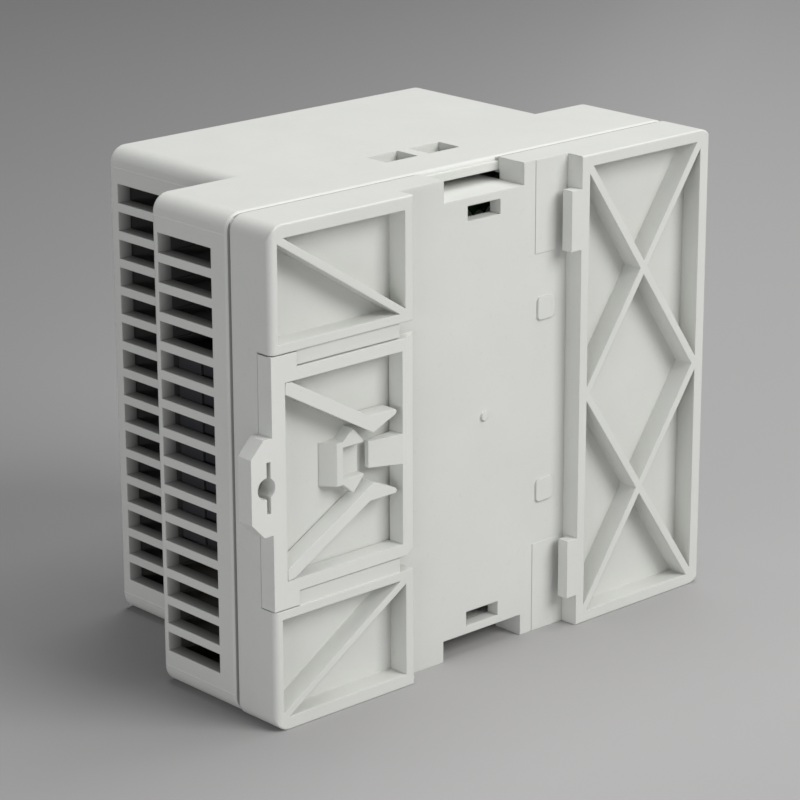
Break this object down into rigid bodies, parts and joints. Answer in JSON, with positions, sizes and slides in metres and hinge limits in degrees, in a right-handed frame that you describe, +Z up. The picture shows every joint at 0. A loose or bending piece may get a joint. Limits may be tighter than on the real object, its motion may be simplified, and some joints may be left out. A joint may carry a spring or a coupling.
{
  "type": "din rail power supply",
  "caption": "Vented two-shell moulded case with a stepped nose, a channel and sprung sliding latch for a 35 mm rail, screw terminals, and a switching converter inside.",
  "frame": {"origin": "middle of the flat side that the unit lies on, half-way across its length and its depth", "axes": "+X across the rail towards the sliding latch, +Y out of the rail side, +Z up, along the rail"},
  "size_m": [0.0972, 0.056, 0.078],
  "materials": {
    "case_plastic": "satin",
    "latch_plastic": "satin",
    "label_film": "satin",
    "board_laminate": "satin",
    "insulating_sheet": "matte",
    "zinc_screw": "satin",
    "terminal_screw": "polished",
    "terminal_plate": "satin",
    "contact_brass": "satin",
    "terminal_plastic": "satin",
    "solder": "polished",
    "fuse_glass": "gloss",
    "fuse_cap_metal": "polished",
    "varistor_coat": "gloss",
    "thermistor_coat": "matte",
    "y_capacitor_coat": "satin",
    "film_capacitor_case": "satin",
    "choke_ferrite": "satin",
    "ferrite": "matte",
    "copper_wire": "satin",
    "winding_tape": "satin",
    "bobbin_plastic": "matte",
    "epoxy_package": "matte",
    "can_aluminium": "satin",
    "capacitor_sleeve": "gloss",
    "heatsink_aluminium": "satin",
    "trimmer_blue": "satin",
    "trimmer_white": "satin",
    "led_epoxy": "gloss",
    "light_pipe_clear": "gloss"
  },
  "bodies": {
    "housing": {"rear_housing": "case_plastic", "front_housing": "case_plastic", "label_plate": "label_film", "main_board": "board_laminate", "control_board": "board_laminate", "insulation_sheet": "insulating_sheet", "board_screws": "zinc_screw", "heatsink_screws": "zinc_screw", "input_contacts": "contact_brass", "output_contacts": "contact_brass", "input_terminal_block": "terminal_plastic", "output_terminal_block": "terminal_plastic", "solder_joints": "solder", "input_fuse": "fuse_glass", "fuse_caps": "fuse_cap_metal", "varistor": "varistor_coat", "thermistor": "thermistor_coat", "y_capacitors": "y_capacitor_coat", "x_capacitor": "film_capacitor_case", "choke_core": "choke_ferrite", "transformer_core": "ferrite", "output_choke_core": "ferrite", "choke_windings": "copper_wire", "output_choke_winding": "copper_wire", "transformer_winding": "winding_tape", "transformer_bobbin": "bobbin_plastic", "bridge_rectifier": "epoxy_package", "switching_transistor": "epoxy_package", "output_rectifier": "epoxy_package", "controller_chip": "epoxy_package", "optocoupler": "epoxy_package", "bulk_capacitor": "can_aluminium", "output_capacitors": "can_aluminium", "bulk_capacitor_sleeve": "capacitor_sleeve", "output_capacitor_sleeves": "capacitor_sleeve", "primary_heatsink": "heatsink_aluminium", "secondary_heatsink": "heatsink_aluminium", "trimmer_body": "trimmer_blue", "status_led": "led_epoxy", "light_pipe": "light_pipe_clear"},
    "latch": {"din_latch": "latch_plastic"},
    "arm_lower": {"latch_arm_lower": "latch_plastic"},
    "arm_upper": {"latch_arm_upper": "latch_plastic"},
    "trimmer": {"trimmer_rotor": "trimmer_white"},
    "input_clamp_1": {"input_clamp_1": "terminal_plate"},
    "input_screw_1": {"input_screw_1": "terminal_screw"},
    "input_clamp_2": {"input_clamp_2": "terminal_plate"},
    "input_screw_2": {"input_screw_2": "terminal_screw"},
    "input_clamp_3": {"input_clamp_3": "terminal_plate"},
    "input_screw_3": {"input_screw_3": "terminal_screw"},
    "output_clamp_1": {"output_clamp_1": "terminal_plate"},
    "output_screw_1": {"output_screw_1": "terminal_screw"},
    "output_clamp_2": {"output_clamp_2": "terminal_plate"},
    "output_screw_2": {"output_screw_2": "terminal_screw"},
    "output_clamp_3": {"output_clamp_3": "terminal_plate"},
    "output_screw_3": {"output_screw_3": "terminal_screw"},
    "output_clamp_4": {"output_clamp_4": "terminal_plate"},
    "output_screw_4": {"output_screw_4": "terminal_screw"}
  },
  "joints": [
    {"name": "latch_slide", "type": "slide", "parent": "housing", "child": "latch", "axis": [1, 0, 0], "range_m": [0, 0.004], "stiffness_N_per_m": 1500, "springref_m": -0.001},
    {"name": "arm_lower_flex", "type": "hinge", "parent": "latch", "child": "arm_lower", "pos_m": [0.0439, 0.0265, 0.0243], "axis": [0, -1, 0], "range_deg": [0, 6]},
    {"name": "arm_upper_flex", "type": "hinge", "parent": "latch", "child": "arm_upper", "pos_m": [0.0439, 0.0265, 0.0537], "axis": [0, 1, 0], "range_deg": [0, 6]},
    {"name": "trimmer_turn", "type": "hinge", "parent": "housing", "child": "trimmer", "pos_m": [-0.0247, -0.022, 0.0656], "axis": [0, -1, 0], "range_deg": [-135, 135]},
    {"name": "input_clamp_1_lift", "type": "slide", "parent": "housing", "child": "input_clamp_1", "axis": [0, -1, 0], "range_m": [0, 0.0025]},
    {"name": "input_screw_1_turn", "type": "hinge", "parent": "input_clamp_1", "child": "input_screw_1", "pos_m": [0.0388, 0.008, 0.0295], "axis": [0, -1, 0], "range_deg": [0, 1805]},
    {"name": "input_clamp_2_lift", "type": "slide", "parent": "housing", "child": "input_clamp_2", "axis": [0, -1, 0], "range_m": [0, 0.0025]},
    {"name": "input_screw_2_turn", "type": "hinge", "parent": "input_clamp_2", "child": "input_screw_2", "pos_m": [0.0388, 0.008, 0.039], "axis": [0, -1, 0], "range_deg": [0, 1805]},
    {"name": "input_clamp_3_lift", "type": "slide", "parent": "housing", "child": "input_clamp_3", "axis": [0, -1, 0], "range_m": [0, 0.0025]},
    {"name": "input_screw_3_turn", "type": "hinge", "parent": "input_clamp_3", "child": "input_screw_3", "pos_m": [0.0388, 0.008, 0.0485], "axis": [0, -1, 0], "range_deg": [0, 1805]},
    {"name": "output_clamp_1_lift", "type": "slide", "parent": "housing", "child": "output_clamp_1", "axis": [0, -1, 0], "range_m": [0, 0.0025]},
    {"name": "output_screw_1_turn", "type": "hinge", "parent": "output_clamp_1", "child": "output_screw_1", "pos_m": [-0.0398, 0.008, 0.02475], "axis": [0, -1, 0], "range_deg": [0, 1805]},
    {"name": "output_clamp_2_lift", "type": "slide", "parent": "housing", "child": "output_clamp_2", "axis": [0, -1, 0], "range_m": [0, 0.0025]},
    {"name": "output_screw_2_turn", "type": "hinge", "parent": "output_clamp_2", "child": "output_screw_2", "pos_m": [-0.0398, 0.008, 0.03425], "axis": [0, -1, 0], "range_deg": [0, 1805]},
    {"name": "output_clamp_3_lift", "type": "slide", "parent": "housing", "child": "output_clamp_3", "axis": [0, -1, 0], "range_m": [0, 0.0025]},
    {"name": "output_screw_3_turn", "type": "hinge", "parent": "output_clamp_3", "child": "output_screw_3", "pos_m": [-0.0398, 0.008, 0.04375], "axis": [0, -1, 0], "range_deg": [0, 1805]},
    {"name": "output_clamp_4_lift", "type": "slide", "parent": "housing", "child": "output_clamp_4", "axis": [0, -1, 0], "range_m": [0, 0.0025]},
    {"name": "output_screw_4_turn", "type": "hinge", "parent": "output_clamp_4", "child": "output_screw_4", "pos_m": [-0.0398, 0.008, 0.05325], "axis": [0, -1, 0], "range_deg": [0, 1805]}
  ],
  "couplings": [
    {"joint": "arm_lower_flex", "follows": "latch_slide", "rad_per_m": 26},
    {"joint": "arm_upper_flex", "follows": "latch_slide", "rad_per_m": 26},
    {"joint": "input_screw_1_turn", "follows": "input_clamp_1_lift", "rad_per_m": 12566},
    {"joint": "input_screw_2_turn", "follows": "input_clamp_2_lift", "rad_per_m": 12566},
    {"joint": "input_screw_3_turn", "follows": "input_clamp_3_lift", "rad_per_m": 12566},
    {"joint": "output_screw_1_turn", "follows": "output_clamp_1_lift", "rad_per_m": 12566},
    {"joint": "output_screw_2_turn", "follows": "output_clamp_2_lift", "rad_per_m": 12566},
    {"joint": "output_screw_3_turn", "follows": "output_clamp_3_lift", "rad_per_m": 12566},
    {"joint": "output_screw_4_turn", "follows": "output_clamp_4_lift", "rad_per_m": 12566}
  ]
}
